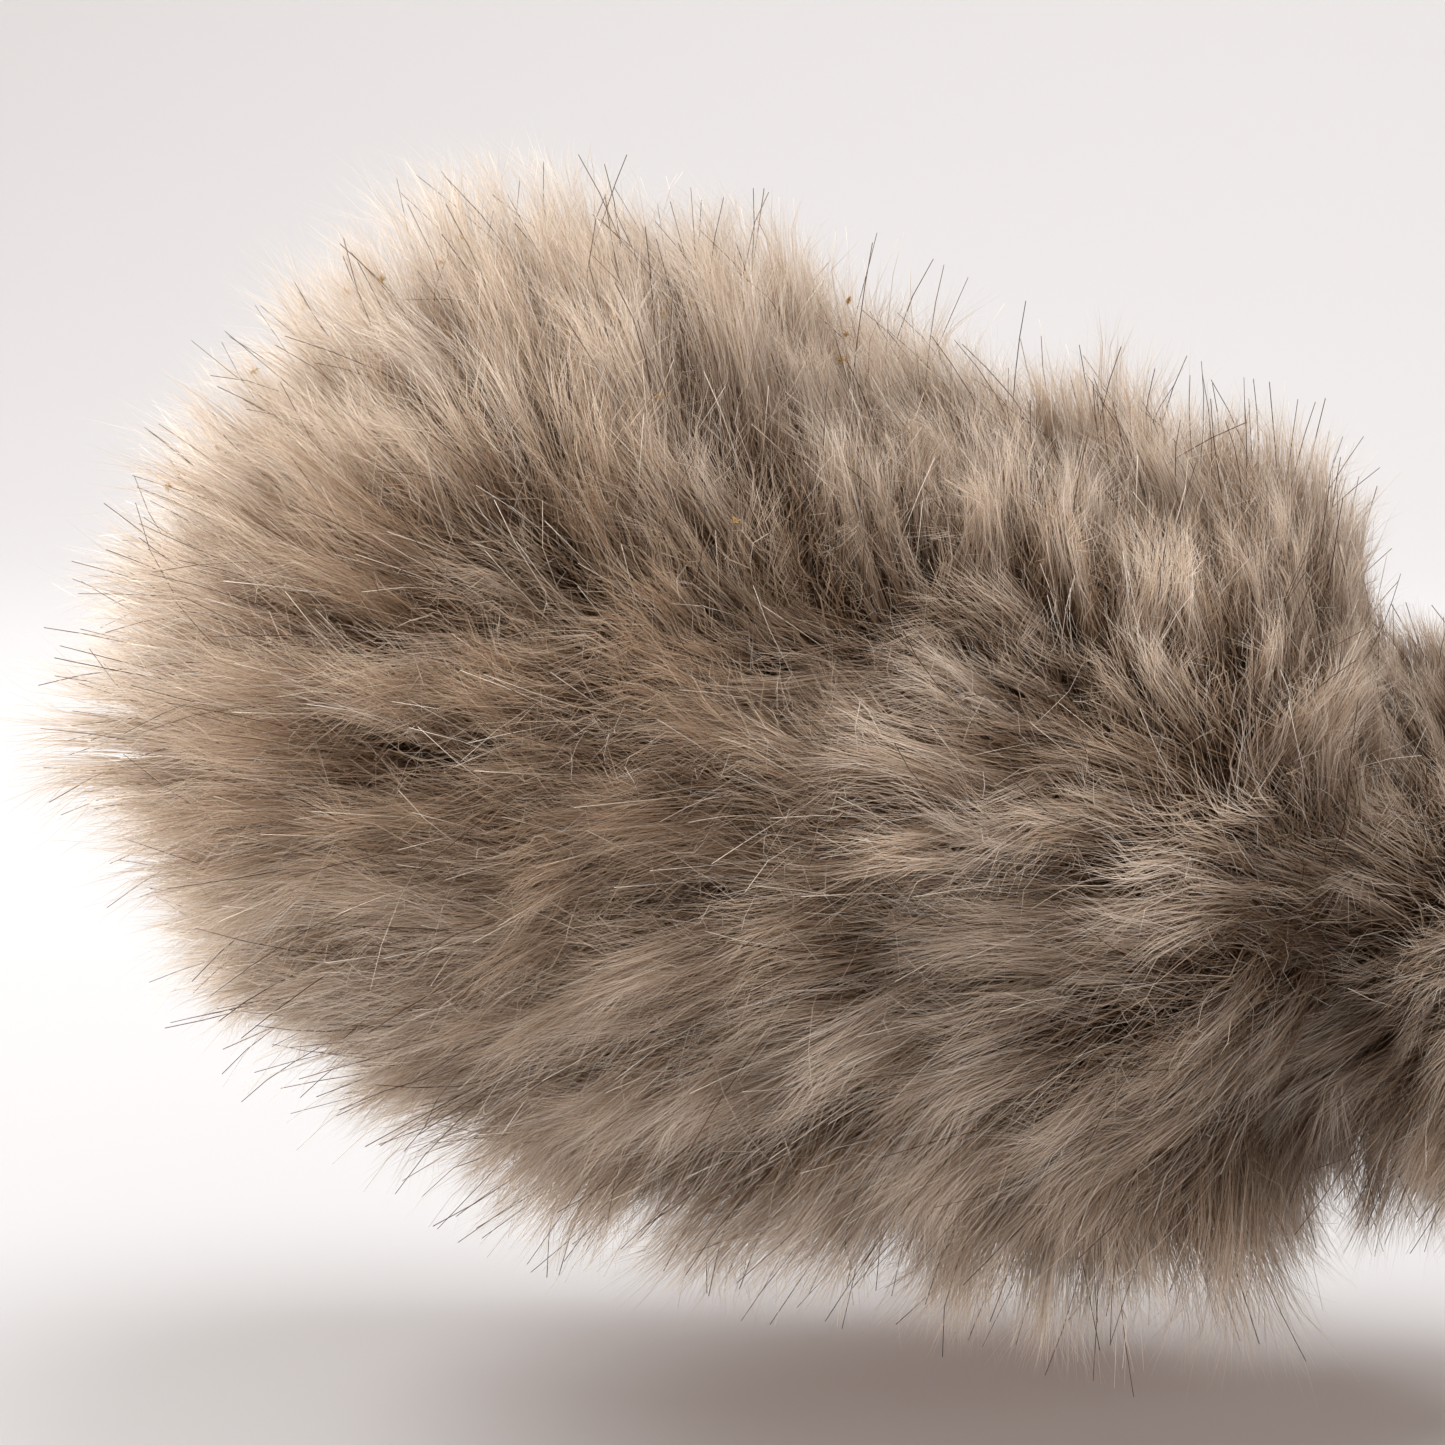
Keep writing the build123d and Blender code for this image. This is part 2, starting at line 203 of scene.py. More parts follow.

# %% [markdown]
# ## The finish of the paper
# Plain pale paper with a fine tooth. It is painted a little darker in front, under the cover, and
# paler towards the bend: painted shade and light. Its faint warm glow stands for the light that the
# fur throws back onto it.

# %% Paper finish
PAPER_COLOUR, PAPER_GLOW = (0.393, 0.407, 0.417), (1.0, 0.55, 0.38, 1)
paper_finish = Finish("pale_paper")
on_sheet = paper_finish.add("ShaderNodeTexCoord", out="Object")
grain = paper_finish.add("ShaderNodeTexNoise", inputs={
    "Vector": on_sheet, "Scale": 900.0, "Detail": 2.0})
paper_bump = paper_finish.add("ShaderNodeBump", inputs={
    "Height": grain, "Strength": 0.05, "Distance": 0.0002})
across_sheet = paper_finish.add("ShaderNodeSeparateXYZ", inputs={"Vector": on_sheet}, out="Y")
# painted shade: the paper's colour falls towards the front, under the cover
painted_front_shade = paper_finish.add("ShaderNodeMapRange", {"interpolation_type": "SMOOTHSTEP"}, {
    "Value": across_sheet, "From Min": -0.1, "From Max": 0.6, "To Min": 0.72, "To Max": 1.0})
sheet_colour = paper_finish.add("ShaderNodeVectorMath", {"operation": "SCALE"}, {
    0: PAPER_COLOUR, "Scale": painted_front_shade})
paper_surface = paper_finish.add("ShaderNodeBsdfPrincipled", inputs={
    "Base Color": sheet_colour, "Roughness": 0.8, "Normal": paper_bump,
    "Emission Color": PAPER_GLOW, "Emission Strength": 0.10})
paper.data.materials.append(paper_finish.surface(paper_surface))
print("paper finish:", paper.data.materials[0].name)

# %% [markdown]
# ## The form under the fur
# The cloth lies on the basket: a dome at the nose, a long cone, a rounded shoulder, and then a
# straight stretch that the elastic pulls down to the neck. Behind the elastic it flares again as
# a frill. One line from the nose to the frill's edge, measured from the axis, describes all of
# it, because every piece of the cover follows that line. Distances are in millimetres here, as
# the pattern of a sewn cover would be.

# %% The cover's line, from the nose to the edge of the frill
BASKET_RADIUS, BASKET_REAR, DOME_CENTRE, FILLET = 36.0, -24.0, -101.0, 10.0
CONE = math.atan(5.0 / 77.0)
HEM_FRONT, HEM_REAR, HEM_RADIUS = -14.429, -8.429, 16.7
FRILL_LENGTH, FRILL_FLARE = 16.5, 4.5
CLOTH_GAP, BACKING = 0.3, 1.2
PATCH_RADIUS, LINE_STEP = 24.0, 0.5


def cone_radius(x, offset):
    touch_x = DOME_CENTRE + (BASKET_RADIUS + offset) * math.sin(CONE)
    return (BASKET_RADIUS + offset) * math.cos(CONE) - (x - touch_x) * math.tan(CONE)


def cover_line(offset):
    """Points of the cloth's line at a distance from the basket, a line step apart."""
    bends = np.radians(np.linspace(0, 90, 80)) * (math.pi / 2 + CONE) / (math.pi / 2)
    radius = BASKET_RADIUS + offset
    dome = np.column_stack([DOME_CENTRE - radius * np.cos(bends), radius * np.sin(bends)])
    centre = np.array([BASKET_REAR - FILLET, cone_radius(BASKET_REAR - FILLET, -FILLET)])
    turn = np.linspace(CONE, math.pi / 4, 12)
    shoulder = centre + (FILLET + offset) * np.column_stack([np.sin(turn), np.cos(turn)])
    rise = offset - CLOTH_GAP
    neck = HEM_RADIUS + rise
    meet = shoulder[-1] + (shoulder[-1][1] - neck) * np.array([1, -1])
    frill = [(HEM_REAR, neck), (HEM_REAR + FRILL_LENGTH, neck + FRILL_FLARE)]
    corners = np.vstack([dome, shoulder, [meet], frill])
    walked = np.concatenate([[0], np.cumsum(np.linalg.norm(np.diff(corners, axis=0), axis=1))])
    places = np.arange(0, walked[-1], LINE_STEP)
    return (places, np.interp(places, walked, corners[:, 0]),
            np.interp(places, walked, corners[:, 1]))


ALONG, LINE_X, LINE_R = cover_line(CLOTH_GAP + BACKING)
slope = np.gradient(LINE_X, ALONG), np.gradient(LINE_R, ALONG)
REACH = 12                  # line steps over which a corner's directions are smoothed
soft = np.hanning(2 * REACH + 1) / np.hanning(2 * REACH + 1).sum()
NORMAL_X = np.convolve(np.pad(-slope[1], REACH, mode="edge"), soft, mode="valid")
NORMAL_R = np.convolve(np.pad(slope[0], REACH, mode="edge"), soft, mode="valid")
RISING = slice(0, 90)       # the dome's part of the line, where the radius only grows
PATCH_EDGE = float(np.interp(PATCH_RADIUS, LINE_R[RISING], ALONG[RISING]))
NECK = float(ALONG[np.argmax(LINE_X > HEM_FRONT)])
LINE_END = float(ALONG[-1])
print("along the line, mm: patch edge", round(PATCH_EDGE, 1), "neck", round(NECK, 1),
      "end", round(LINE_END, 1))

# %% [markdown]
# A place on the cloth is a distance along the line and an angle round the axis. The directions
# were smoothed above, so the pile fans out over the corner at the neck and leaves no gap there.

# %% A point of the cloth and its outward direction
def on_cloth(along, angle):
    """Places and outward directions. The angle goes round the axis from +Y towards +Z."""
    x, r = np.interp(along, ALONG, LINE_X), np.interp(along, ALONG, LINE_R)
    nx, nr = np.interp(along, ALONG, NORMAL_X), np.interp(along, ALONG, NORMAL_R)
    place = np.column_stack([x, r * np.cos(angle), r * np.sin(angle)])
    outward = unit(np.column_stack([nx, nr * np.cos(angle), nr * np.sin(angle)]))
    return place, outward


def unit(vectors):
    return vectors / np.maximum(np.linalg.norm(vectors, axis=-1, keepdims=True), 1e-9)


print("radius of the cloth at its widest, mm:", round(float(LINE_R.max()), 1))

# %% [markdown]
# ## Which way the fur lies
# The cloth's nap runs towards the nose, and handling has combed it further: above a wandering
# parting at the side the hair is swept up, and below it the hair lies back along the cover and
# hangs. At the nose the directions fan out. This function gives the direction that the hair leans
# to at a place. It is a sum of three directions: outwards, forwards, and up or down.

# %% Comb the coat
PARTING_X = np.array([-140.0, -105.0, -89.0, -75.0, -61.0, -45.0, -23.0, 10.0])
PARTING_ANGLE = np.radians([5.0, 33.0, 23.0, 28.0, 36.0, 27.0, 10.0, 5.0])


def smooth(value, low, high):
    t = np.clip((value - low) / (high - low), 0, 1)
    return t * t * (3 - 2 * t)


def comb(place, outward, turn, lift):
    """The direction of lean, with a turn in radians and a lift that vary from lock to lock."""
    x = place[:, 0]
    height = np.arctan2(place[:, 2], np.abs(place[:, 1]))
    past = height - np.interp(x, PARTING_X, PARTING_ANGLE)
    # where a place is, each as a share from 0 to 1
    body = smooth(x, -134.0, -106.0)
    rear = smooth(x, -105.0, -86.0)
    near_neck = smooth(x, -50.0, -30.0)
    waist = smooth(x, -24.0, -17.0) * (1 - smooth(x, -9.0, -4.0))
    frill = smooth(x, -9.0, -2.0)
    above = smooth(past, np.radians(-7), np.radians(9))
    facing = 1 - smooth(np.abs(height), 0.5, 1.2)
    flat_below = smooth(-height, 0.2, 0.9) * (1 - rear)
    # how steeply the pile rises, above the parting, below it, and at the nose
    swept_up = np.radians(62 - 14 * smooth(height, 0.5, 1.4) * (1 - near_neck) + 5 * near_neck)
    hanging = rear * smooth(-height, 0.45, 1.15)
    lying_back = np.radians(4) - np.radians(26) * smooth(-height, -0.2, 1.3) * (0.25 + 0.75 * rear)
    lying_back -= hanging * np.radians(18 + 32 * smooth(x, -70.0, -35.0) + 26 * near_neck)
    on_body = above * swept_up + (1 - above) * lying_back
    fan = np.radians(6) + height * np.where(height > 0, 0.42, 0.16)
    rise = body * on_body + (1 - body) * fan + turn
    # the three directions, added
    forwards = (np.cos(rise) * (1 - 0.75 * frill)
                + 0.5 * waist * (1 - smooth(-height, 0.6, 1.2)))
    upwards = np.sin(rise) * (1 - 0.5 * frill)
    out = (0.45 + 0.20 * facing + 0.28 * (1 - body) - 0.34 * flat_below + lift
           + 0.5 * frill - 0.1 * waist)
    lean = (outward * out[:, None] - np.outer(forwards, [1, 0, 0])
            + np.outer(upwards, [0, 0, 1]))
    return unit(lean)


print("the parting's angle in degrees:", np.degrees(PARTING_ANGLE).round())

# %% [markdown]
# ## Growing
# A hair leaves the cloth along its outward direction, turns over into the comb's direction in its
# lower half, droops, and wanders a little. All the hairs of a layer take each step together. The
# ends that reach past the length that the coat is clipped to are drawn in.

# %% Grow hairs from their roots
SAMPLES = 400


def grow(along, angle, length, turn, lift, droop, points, rng, curl=0.0, wander=0.0):
    """Paths of hairs in millimetres, from the root to the tip."""
    place, outward = on_cloth(along, angle)
    leaning = comb(place, outward, turn, lift)
    across = unit(np.cross(leaning, outward))
    phase, rate = rng.uniform(0, 2 * np.pi, len(along)), rng.uniform(0.7, 1.6, len(along))
    path = np.empty((len(along), points, 3))
    path[:, 0] = place
    bend = rng.normal(0, 1, (len(along), 3)) * wander
    for k in range(1, points):
        u = (k - 0.5) / (points - 1)
        lay = 0.30 + 0.75 * min(1.0, u / 0.55)
        direction = outward * (1 - lay) + leaning * lay
        direction = unit(direction) + bend * u
        direction[:, 2] -= droop * u * u
        if curl:
            sway = curl * np.sin(phase + rate * 2 * np.pi * 2 * u)[:, None]
            lift_curl = curl * np.cos(phase * 1.7 + rate * 2 * np.pi * 1.6 * u)[:, None]
            direction = direction + across * sway + outward * lift_curl
        path[:, k] = path[:, k - 1] + unit(direction) * (length / (points - 1))[:, None]
    return trimmed(path)


def trimmed(path, reach=61.0, kept=0.4):
    """Paths whose far ends are pulled in towards the length that the coat is clipped to."""
    radius = np.hypot(path[..., 1], path[..., 2])
    pulled = np.where(radius > reach, reach + (radius - reach) * kept, radius)
    share = pulled / np.maximum(radius, 1e-6)
    return path * np.stack([np.ones_like(share), share, share], axis=-1)


def nearest(place, centres, batch=1000):
    """For each place, the index of the nearest centre."""
    found = np.empty(len(place), dtype=int)
    for start in range(0, len(place), batch):
        part = place[start:start + batch]
        apart = ((part[:, None, :] - centres[None, :, :]) ** 2).sum(axis=2)
        found[start:start + batch] = apart.argmin(axis=1)
    return found


def scatter(count, along_range, angle_range, rng):
    """Roots spread evenly over the cloth between two places along its line and two angles."""
    line = np.linspace(*along_range, SAMPLES)
    weight = np.cumsum(np.interp(line, ALONG, LINE_R))
    weight = (weight - weight[0]) / (weight[-1] - weight[0])
    along = np.interp(rng.random(count), weight, line)
    return along, rng.uniform(*angle_range, count)


def cloth_area(along_range, angle_range):
    line = np.linspace(*along_range, SAMPLES)
    radius = float(np.interp(line, ALONG, LINE_R).mean())
    return radius * (line[-1] - line[0]) * (angle_range[1] - angle_range[0])


print("area of the whole cover, cm2:", round(cloth_area((0, LINE_END), (0, 2 * math.pi)) / 100))

# %% [markdown]
# ## Locks
# Long pile never stands as single hairs. Hairs gather into fine strands, and the strands into
# locks that end in a frayed point. Each lock has its own lean, length and tone. A hair is grown
# on its own first, then drawn towards its strand's path, which has been drawn towards its lock's
# path: more so near the tip, and less again at the very end, where it frays.

# %% Draw hairs together
LOCK_SIZE, STRAND_SIZE = 7.0, 1.7


def parting(x, height):
    """How near a place is to the parting, from 0 to 1."""
    past = height - np.interp(x, PARTING_X, PARTING_ANGLE)
    on_cone = smooth(x, -112.0, -96.0) * (1 - smooth(x, -44.0, -26.0))
    return np.exp(-(past / np.radians(8.0)) ** 2) * on_cone


def lengths_at(along, angle):
    """The pile's length: full over the dome, and shorter on top of the cone and at the waist."""
    x, height = np.interp(along, ALONG, LINE_X), np.arcsin(np.sin(angle))
    below = smooth(-height, 0.35, 1.0)
    length = 25.5 - 4.5 * smooth(-x, 116.0, 136.0)                              # the nose
    length -= 9.0 * smooth(x, -92.0, -60.0) * smooth(height, -0.1, 0.8)         # top of the cone
    length -= 6.0 * below * smooth(-x, 86.0, 104.0)                             # under the nose
    length += 1.0 * below * smooth(x, -88.0, -70.0)                             # the fringe
    length -= 3.0 * smooth(height, 0.2, 0.9) * smooth(-x, 108.0, 120.0) + 1.5 * below
    length -= 5.0 * smooth(x, -32.0 + 4.0 * below, -14.0)                       # the waist
    return length * (1 - 0.30 * parting(x, height))


def lock_paths(along_range, angle_range, spacing, points, rng, margin=4.0):
    """Leading hairs of the locks, a little past the panel's edges too, with their own lean."""
    reach = margin / (BASKET_RADIUS + 1.0)
    wide_along = (max(0.0, along_range[0] - margin), min(LINE_END, along_range[1] + margin))
    wide_angle = (angle_range[0] - reach, angle_range[1] + reach)
    count = max(8, int(cloth_area(wide_along, wide_angle) / spacing ** 2))
    along, angle = scatter(count, wide_along, wide_angle, rng)
    turn, lift = rng.normal(0, 0.22, count), rng.normal(0, 0.18, count)
    stretch = rng.normal(1.0, 0.13, count)
    length = lengths_at(along, angle) * stretch
    path = grow(along, angle, length, turn, lift, 0.22, points, rng, wander=0.10)
    return {"along": along, "angle": angle, "turn": turn, "lift": lift, "stretch": stretch,
            "path": path, "tone": rng.normal(0, 1, count)}


def gathered(own, lead, pull, fray):
    """Own paths drawn towards their leaders' paths."""
    u = np.linspace(0, 1, own.shape[1])
    weight = smooth(u, 0.0, 0.75) - fray * smooth(u, 0.75, 1.0)
    return own + (lead - own) * (np.reshape(pull, (-1, 1)) * weight[None, :])[:, :, None]


print("locks of", LOCK_SIZE, "mm, of strands of", STRAND_SIZE, "mm")

# %% [markdown]
# ## From paths to hair mesh
# A hair is a long thin ribbon that tapers to a point. Thousands of ribbons make one mesh, so
# their corners and faces are written as arrays rather than one by one. Each ribbon faces away
# from the cover, turned a little about its own length, so neighbours catch the light differently.
# Its UV map carries its tone across and its length upwards: the finish reads both, and all places
# on the map have one colour, whichever hair they belong to.

# %% Ribbons
def mesh_of(name, corners, face_sizes, face_corners, uvs):
    mesh = bpy.data.meshes.new(name)
    mesh.vertices.add(len(corners))
    mesh.vertices.foreach_set("co", (corners * MM).astype(np.float32).ravel())
    mesh.loops.add(len(face_corners))
    mesh.loops.foreach_set("vertex_index", face_corners.astype(np.int32))
    starts = np.concatenate([[0], np.cumsum(face_sizes)[:-1]])
    mesh.polygons.add(len(face_sizes))
    mesh.polygons.foreach_set("loop_start", starts.astype(np.int32))
    mesh.polygons.foreach_set("loop_total", face_sizes.astype(np.int32))
    mesh.polygons.foreach_set("use_smooth", np.ones(len(face_sizes), dtype=bool))
    layer = mesh.uv_layers.new(name="OFBake")
    layer.data.foreach_set("uv", uvs.astype(np.float32).ravel())
    mesh.update(calc_edges=True)
    piece = bpy.data.objects.new(name, mesh)
    bpy.context.scene.collection.objects.link(piece)
    return piece


def uv_map(tone, across, upwards, pattern):
    """Tone across the map and height up it, just inside the map's edges."""
    u = 0.01 + 0.98 * tone[:, None] + across[None, pattern]
    v = np.broadcast_to(0.01 + 0.98 * upwards[pattern], u.shape)
    return np.clip(np.stack([u, v], axis=2), 0.002, 0.998)


def ribbons(name, path, outward, width, twist, tone):
    """A ribbon along each path: two corners at each point but the tip, which has one."""
    count, points = path.shape[:2]
    ahead = unit(np.gradient(path, axis=1))
    facing = np.broadcast_to(outward[:, None, :], path.shape)
    side = unit(np.cross(facing, ahead))
    up = np.cross(ahead, side)
    side = side * np.cos(twist)[:, None, None] + up * np.sin(twist)[:, None, None]
    u = np.linspace(0, 1, points)
    taper = np.minimum(1.0, 1.25 * (1 - u) ** 0.6)
    half = side * (width[:, None] * taper[None, :] / 2)[:, :, None]
    pairs = np.stack([path - half, path + half], axis=2)[:, :-1].reshape(count, -1, 3)
    corners = np.concatenate([pairs, path[:, -1:]], axis=1)
    each = corners.shape[1]
    quads = np.array([[2 * k, 2 * k + 1, 2 * k + 3, 2 * k + 2] for k in range(points - 2)]).ravel()
    pattern = np.concatenate([quads, [each - 3, each - 2, each - 1]])
    face_corners = (np.arange(count)[:, None] * each + pattern[None, :]).ravel()
    face_sizes = np.tile([4] * (points - 2) + [3], count)
    across = np.concatenate([np.tile([-0.002, 0.002], points - 1), [0.0]])
    upwards = np.concatenate([np.repeat(u[:-1], 2), [1.0]])
    uvs = uv_map(tone, across, upwards, pattern)
    return mesh_of(name, corners.reshape(-1, 3), face_sizes, face_corners, uvs)


print("ribbon and map ready")

# %% [markdown]
# The guard hairs are thick enough to be seen one by one, so each is a closed hair with three
# sides and two ends, cut off blunt.

# %% Round hairs
def round_hairs(name, path, width, tone, blunt=0.7):
    """A three-sided closed hair along each path, nearly as thick at its cut tip as at its root."""
    count, points = path.shape[:2]
    ahead = unit(np.gradient(path, axis=1))
    side = unit(np.cross(ahead, np.array([0.31, 0.77, 0.55])))
    other = np.cross(ahead, side)
    taper = 1 - (1 - blunt) * np.linspace(0, 1, points)
    radius = (width[:, None] * taper[None, :] / 2)[:, :, None]
    thirds = (0, 2 * math.pi / 3, 4 * math.pi / 3)
    turns = [path + radius * (side * math.cos(a) + other * math.sin(a)) for a in thirds]
    corners = np.stack(turns, axis=2).reshape(count, -1, 3)
    each = corners.shape[1]
    walls = []
    for k in range(points - 1):
        for a in range(3):
            b = (a + 1) % 3
            walls += [3 * k + a, 3 * k + b, 3 * k + 3 + b, 3 * k + 3 + a]
    pattern = np.array(walls + [2, 1, 0] + [each - 3, each - 2, each - 1])
    face_corners = (np.arange(count)[:, None] * each + pattern[None, :]).ravel()
    face_sizes = np.tile([4] * (3 * (points - 1)) + [3, 3], count)
    across = np.array([-0.003, 0.0, 0.003])[np.tile(np.arange(3), points)]
    upwards = np.repeat(np.linspace(0, 1, points), 3)
    uvs = uv_map(tone, across, upwards, pattern)
    return mesh_of(name, corners.reshape(-1, 3), face_sizes, face_corners, uvs)


print("round hair ready")

# %% [markdown]
# ## The finish of the fur
# The pile is an acrylic fibre in warm greys and browns, and fibres differ in tone. Each fibre is
# painted darker towards its root, painted shade for the depth of the coat, and is pale at its tip.
# Light that falls on a thin fibre goes partly through it, so the finish is a mix of a soft plastic
# surface and a translucent one, which is what makes the rim of the coat glow.

# %% Fur finishes
def hair_finish(name, root, tips, through):
    finish = Finish(name)
    uv = finish.add("ShaderNodeUVMap", {"uv_map": "OFBake"})
    parts = finish.add("ShaderNodeSeparateXYZ", inputs={"Vector": uv})
    height = parts.output("Y")
    tip_colour = finish.add("ShaderNodeValToRGB", {"stops": tips}, {"Fac": parts})
    # painted shade: towards the root the colour falls to the dark root colour
    root_shade_fade = finish.add("ShaderNodeMapRange", {"interpolation_type": "SMOOTHSTEP"},
                        {"Value": height, "From Min": 0.15, "From Max": 0.92})
    colour = finish.add("ShaderNodeMix", {"data_type": "RGBA"},
                        {0: root_shade_fade, 6: (*root, 1), 7: tip_colour}, out=2)
    shell = finish.add("ShaderNodeBsdfPrincipled", inputs={
        "Base Color": colour, "Roughness": 0.5, "Specular IOR Level": 0.22})
    glow = finish.add("ShaderNodeBsdfTranslucent", inputs={"Color": colour})
    return finish.surface(finish.add("ShaderNodeMixShader", inputs={0: through, 1: shell, 2: glow}))


# The first colour is the root's: dark, as painted shade deep in the coat. The stops are the tips'
# tones.
pile_finish = hair_finish("pile", (0.17, 0.098, 0.052), [
    (0.0, (0.37, 0.255, 0.168)), (0.3, (0.575, 0.45, 0.335)), (0.6, (0.74, 0.625, 0.515)),
    (0.85, (0.84, 0.745, 0.65)), (1.0, (0.92, 0.87, 0.81))], 0.42)
guard_finish = hair_finish("guard_hair", (0.10, 0.052, 0.026), [
    (0.0, (0.045, 0.024, 0.013)), (0.5, (0.085, 0.047, 0.026)), (0.8, (0.15, 0.092, 0.055)),
    (0.95, (0.62, 0.52, 0.42)), (1.0, (0.8, 0.72, 0.62))], 0.1)
print("fur finishes:", pile_finish.name, guard_finish.name)

# %% [markdown]
# ## The coat, panel by panel
# The cover is sewn from four gores and a nose patch, with a frill behind the elastic, so the coat
# grows panel by panel in the same way. The under layer is broad and fills the depth, and its dark
# tone is painted shade for the depth of the coat. The over layer is fine and pale and carries the
# detail of the surface; it is painted darker in a band along the side and at the parting, painted
# shade. The curly frizz shows in the hollows between the locks.

# %% Grow the pile of one panel
POINTS, FRIZZ_POINTS = 6, 9
THIN = 1


def painted_shade(place):
    """How much the tone falls, as painted shade, in a band along the side and most of all at the
    parting.
    """
    x, height = place[:, 0], np.arctan2(place[:, 2], np.abs(place[:, 1]))
    band = np.exp(-((height - 0.08) / 0.42) ** 2) * smooth(x, -132.0, -112.0)
    band *= 1 - 0.85 * smooth(x, -75.0, -50.0)
    return 0.25 * parting(x, height) + 0.46 * band


def coat(name, seed, along_range, angle_range, counts):
    """The layers of one panel's coat."""
    rng = np.random.default_rng(seed)
    locks = lock_paths(along_range, angle_range, LOCK_SIZE, POINTS, rng)
    centres = on_cloth(locks["along"], locks["angle"])[0]
    fine_count = int(cloth_area(along_range, angle_range) / STRAND_SIZE ** 2)
    fine_along, fine_angle = scatter(fine_count, along_range, angle_range, rng)
    fine_lock = nearest(on_cloth(fine_along, fine_angle)[0], centres)
    fine_turn = locks["turn"][fine_lock] + rng.normal(0, 0.19, fine_count)
    fine_lift = locks["lift"][fine_lock] + rng.normal(0, 0.07, fine_count)
    fine_length = (lengths_at(fine_along, fine_angle) * locks["stretch"][fine_lock]
                   * rng.normal(1.0, 0.06, fine_count))
    fine_own = grow(fine_along, fine_angle, fine_length, fine_turn, fine_lift, 0.16, POINTS, rng,
                    wander=0.12)
    fine_path = gathered(fine_own, locks["path"][fine_lock], 0.62, 0.34)
    fine_place = fine_path[:, 0]
    fine_tone = rng.normal(0, 1, fine_count)
    pieces = []
    for layer, count in counts.items():
        count //= THIN
        along, angle = scatter(count, along_range, angle_range, rng)
        place, outward = on_cloth(along, angle)
        leader = nearest(place, fine_place)
        lock = fine_lock[leader]
        turn = fine_turn[leader] + rng.normal(0, 0.10, count)
        lift = fine_lift[leader] + rng.normal(0, 0.05, count)
        if layer == "frizz":
            length = fine_length[leader] * rng.uniform(0.7, 1.05, count)
            path = grow(along, angle, length, turn + rng.normal(0, 0.5, count), lift + 0.1, 0.1,
                        FRIZZ_POINTS, rng, curl=0.7, wander=0.5)
            width, tone = rng.uniform(0.05, 0.085, count), rng.uniform(0.6, 1.0, count)
        elif layer == "under":
            length = lengths_at(along, angle) * rng.uniform(0.45, 0.85, count)
            own = grow(along, angle, length, turn, lift, 0.15, POINTS, rng, curl=0.5, wander=0.3)
            path = gathered(own, own + (fine_path[leader] - own) * 0.5, 0.3, 0.5)
            width = rng.uniform(0.15, 0.24, count)
            # painted shade: the under layer's dark tone stands for the shade deep in the coat
            tone = 0.16 + 0.08 * locks["tone"][lock] + rng.normal(0, 0.10, count)
        else:
            length = fine_length[leader] * np.clip(rng.normal(1.0, 0.11, count), 0.6, 1.15)
            own = grow(along, angle, length, turn, lift, 0.18, POINTS, rng, curl=0.2, wander=0.26)
            stray = rng.random(count) < 0.28
            path = gathered(own, fine_path[leader], np.where(stray, 0.25, 0.74), 0.45)
            width = np.where(stray, rng.uniform(0.05, 0.085, count),
                             rng.uniform(0.07, 0.125, count))
            tone = (0.57 + 0.065 * locks["tone"][lock] + 0.10 * fine_tone[leader]
                    + rng.normal(0, 0.17, count) + 0.1 * stray)
            # painted shade: the over layer is darker in a band along the side and at the parting
            tone -= painted_shade(place)
        width = width * (THIN ** 0.5)
        twist = rng.normal(0, 0.5, count)
        hair = ribbons(f"{name}_{layer}", path, outward, width, twist, np.clip(tone, 0, 1))
        hair.data.materials.append(pile_finish)
        pieces.append(hair)
        print(hair.name, count, "hairs,", len(hair.data.vertices), "corners")
    return pieces


print("points along a hair:", POINTS)

# %% [markdown]
# ## The cloth
# Under its pile each panel is knitted cloth with a real thickness. It starts as a flat grid, as
# it would be cut, and is wrapped onto the line. The nose patch closes on itself at the tip, where
# its corners are merged.

# %% Cloth of one panel
KNIT_WALL, SUNK = 0.9, 0.1


def backing(name, along_range, angle_range, steps):
    """The knitted cloth of a panel, from a flat grid wrapped onto the cover's line."""
    deselect_all()
    bpy.ops.mesh.primitive_grid_add(x_subdivisions=steps[0], y_subdivisions=steps[1], size=1.0)
    cloth = bpy.context.object
    cloth.name = cloth.data.name = name
    flat = np.empty(len(cloth.data.vertices) * 3)
    cloth.data.vertices.foreach_get("co", flat)
    flat = flat.reshape(-1, 3) + 0.5
    along = along_range[0] + flat[:, 0] * (along_range[1] - along_range[0])
    angle = angle_range[0] + flat[:, 1] * (angle_range[1] - angle_range[0])
    x, r = np.interp(along, ALONG, LINE_X), np.interp(along, ALONG, LINE_R)
    nx, nr = np.interp(along, ALONG, -slope[1]), np.interp(along, ALONG, slope[0])
    x, r = x - nx * SUNK, r - nr * SUNK
    place = np.column_stack([x, r * np.cos(angle), r * np.sin(angle)]) * MM
    cloth.data.vertices.foreach_set("co", place.ravel())
    bpy.ops.object.mode_set(mode="EDIT")
    bpy.ops.mesh.select_all(action="SELECT")
    bpy.ops.mesh.remove_doubles(threshold=1e-5)
    bpy.ops.mesh.normals_make_consistent(inside=False)
    bpy.ops.object.mode_set(mode="OBJECT")
    middle = cloth.data.polygons[len(cloth.data.polygons) // 2]
    outward = Vector((0, middle.center.y, middle.center.z)) + Vector((-1e-3, 0, 0))
    if middle.normal.dot(outward) < 0:
        cloth.data.flip_normals()
    bpy.ops.object.shade_smooth()
    wall = cloth.modifiers.new("wall", "SOLIDIFY")
    wall.thickness, wall.offset = KNIT_WALL * MM, -1
    bpy.ops.object.modifier_apply(modifier=wall.name)
    return cloth


print("cloth wall, mm:", KNIT_WALL)
